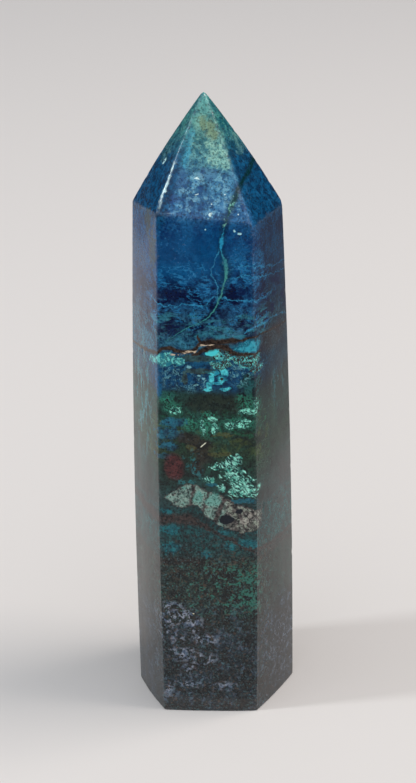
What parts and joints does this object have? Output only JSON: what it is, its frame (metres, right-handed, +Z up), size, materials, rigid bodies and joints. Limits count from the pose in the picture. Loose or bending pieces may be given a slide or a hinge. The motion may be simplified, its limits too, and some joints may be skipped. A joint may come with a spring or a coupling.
{
  "type": "stone tower point",
  "caption": "Polished jasper tower: a tapering hexagonal shaft of banded blue, green and brown stone with a faceted pointed tip, standing on its flat foot",
  "frame": {"origin": "centre of the stone's box on the plane of its flat foot", "axes": "+Z runs up the stone to its point; -Y is the broad face that the picture shows; +X is to its right"},
  "size_m": [0.0228, 0.0206, 0.09],
  "materials": {
    "polished_jasper": "polished opaque jasper, dark blue and green with brown, cream and mint bands"
  },
  "bodies": {
    "root": {"tower_point": "polished_jasper"}
  },
  "joints": []
}
